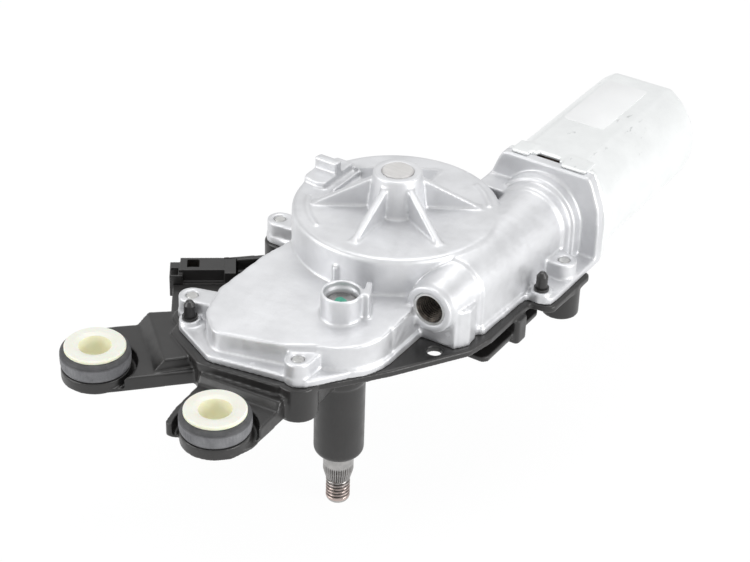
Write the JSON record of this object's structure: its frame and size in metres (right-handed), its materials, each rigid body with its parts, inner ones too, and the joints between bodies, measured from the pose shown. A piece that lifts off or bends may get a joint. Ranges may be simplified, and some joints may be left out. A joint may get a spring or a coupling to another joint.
{
  "type": "rear wiper motor",
  "caption": "Rear window wiper motor: ribbed cast gear housing on a moulded cover with two rubber-mounted arms, a worm tube with a round motor can, and a spindle in a long tube.",
  "frame": {"origin": "on the wiper spindle's axis, at the shoulder where the wiper arm's seat begins, 0.3 mm below the end of the spindle tube", "axes": "+Y runs along the motor from the gearbox to the can, +Z points from the wiper arm's end of the spindle to the gearbox, and +X completes a right-handed frame"},
  "size_m": [0.1224, 0.2265, 0.0998],
  "materials": {
    "cast_aluminium": "satin die-cast aluminium",
    "black_plastic": "charcoal glass-filled plastic with a fine moulded grain",
    "grey_rubber": "dull dark grey rubber",
    "cream_plastic": "ivory moulded plastic",
    "zinc_steel": "zinc-plated steel",
    "machined_steel": "ground steel",
    "spring_steel": "dark spring steel",
    "dark_steel": "dark knurled and threaded steel",
    "bronze": "sintered bronze",
    "cap_aluminium": "satin aluminium plug",
    "white_acetal": "natural moulded gear plastic",
    "contact_brass": "bright contact brass",
    "seal_rubber": "black rubber",
    "plated_can": "bright zinc-plated drawn steel",
    "ferrite": "dark ferrite",
    "lamination_steel": "stacked lamination steel",
    "copper_winding": "lacquered copper wire",
    "commutator_copper": "turned copper",
    "brown_plastic": "brown phenolic plastic",
    "carbon": "graphite"
  },
  "bodies": {
    "housing": {"gear_housing": "cast_aluminium", "base_cover": "black_plastic", "mount_grommet_front": "grey_rubber", "mount_grommet_left": "grey_rubber", "mount_sleeve_front": "cream_plastic", "mount_sleeve_left": "cream_plastic", "housing_screws": "zinc_steel", "cover_pegs": "black_plastic", "cover_gasket": "seal_rubber", "hub_bush": "bronze", "hub_cap": "cap_aluminium", "park_contacts": "contact_brass", "sector_pin": "machined_steel", "spindle_washer": "zinc_steel", "spindle_bush_upper": "bronze", "spindle_bush_lower": "bronze", "spindle_seal": "seal_rubber", "connector_socket": "black_plastic", "connector_terminals": "contact_brass", "worm_end_lining": "zinc_steel", "worm_end_bush": "bronze", "gearcase_bush": "bronze", "can_end_bush": "bronze", "motor_can": "plated_can", "field_magnets": "ferrite", "brush_holder": "brown_plastic", "brushes": "carbon", "brush_springs": "spring_steel"},
    "armature": {"worm_shaft": "machined_steel", "armature_core": "lamination_steel", "armature_windings": "copper_winding", "commutator": "commutator_copper"},
    "wheel": {"worm_wheel": "white_acetal", "wheel_axle": "machined_steel", "axle_clip": "spring_steel", "park_ring": "contact_brass", "crank_pin": "machined_steel"},
    "spindle": {"output_spindle": "dark_steel", "output_pinion": "machined_steel"},
    "sector": {"sector_gear": "machined_steel", "link_pin": "machined_steel"},
    "link": {"crank_link": "zinc_steel"}
  },
  "joints": [
    {"name": "motor_spin", "type": "hinge", "parent": "housing", "child": "armature", "pos_m": [0.0225, 0.1, 0.0553], "axis": [0, 1, 0], "continuous": true},
    {"name": "wheel_spin", "type": "hinge", "parent": "housing", "child": "wheel", "pos_m": [-0.009, 0.0455, 0.0553], "axis": [0, 0, 1], "continuous": true},
    {"name": "wiper_sweep", "type": "hinge", "parent": "housing", "child": "spindle", "pos_m": [0, 0, 0], "axis": [0, 0, 1], "range_deg": [0, 110]},
    {"name": "sector_swing", "type": "hinge", "parent": "housing", "child": "sector", "pos_m": [-0.02273, 0.01312, 0.0452], "axis": [0, 0, 1], "range_deg": [-55, 0]},
    {"name": "link_swing", "type": "hinge", "parent": "sector", "child": "link", "pos_m": [-0.00997, 0.01413, 0.0487], "axis": [0, 0, 1], "range_deg": [0, 49.3]}
  ],
  "couplings": [
    {"joint": "wheel_spin", "follows": "motor_spin", "ratio": -0.022222},
    {"joint": "sector_swing", "follows": "wiper_sweep", "ratio": -0.5},
    {"joint": "link_swing", "follows": "wiper_sweep", "ratio": 0.44761}
  ]
}
